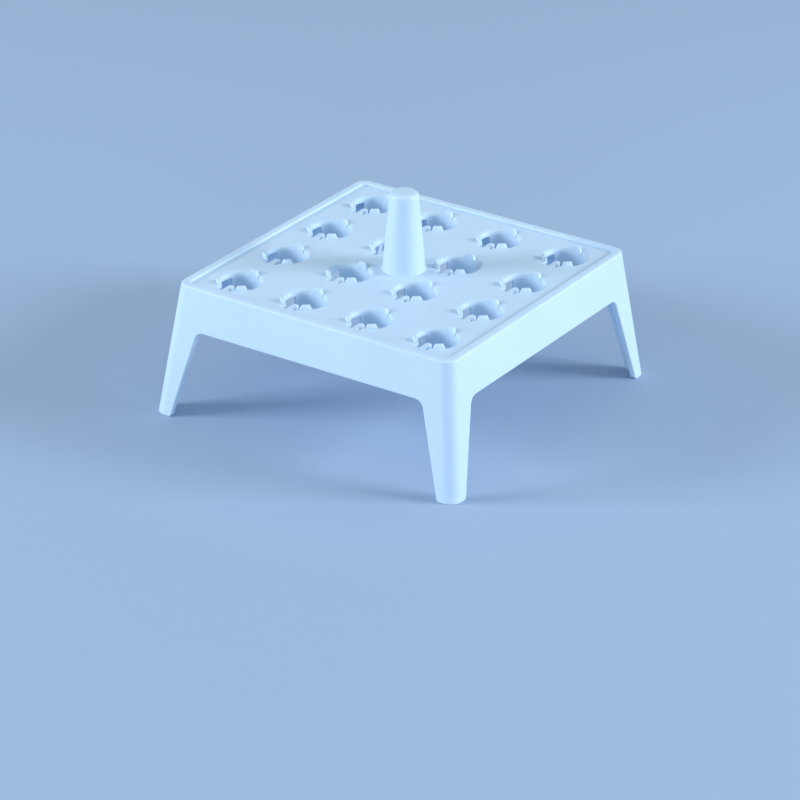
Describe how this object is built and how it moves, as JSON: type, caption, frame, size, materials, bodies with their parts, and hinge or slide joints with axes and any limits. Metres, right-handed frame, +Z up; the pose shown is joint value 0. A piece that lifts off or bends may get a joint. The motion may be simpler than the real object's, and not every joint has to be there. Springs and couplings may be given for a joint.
{
  "type": "microcentrifuge tube rack",
  "caption": "Square white plastic rack on four splayed legs, with a grid of gripping holes for small lab tubes and a central lifting post.",
  "frame": {"origin": "centre of the footprint, at the level of the feet", "axes": "+Z up along the lifting post; X and Y along the rows of tube holes; every hole's gripping tongue is on its -Y side"},
  "size_m": [0.1084, 0.1084, 0.0663],
  "materials": {
    "rack": "satin white polypropylene"
  },
  "bodies": {
    "root": {"tube_rack": "rack"}
  },
  "joints": []
}
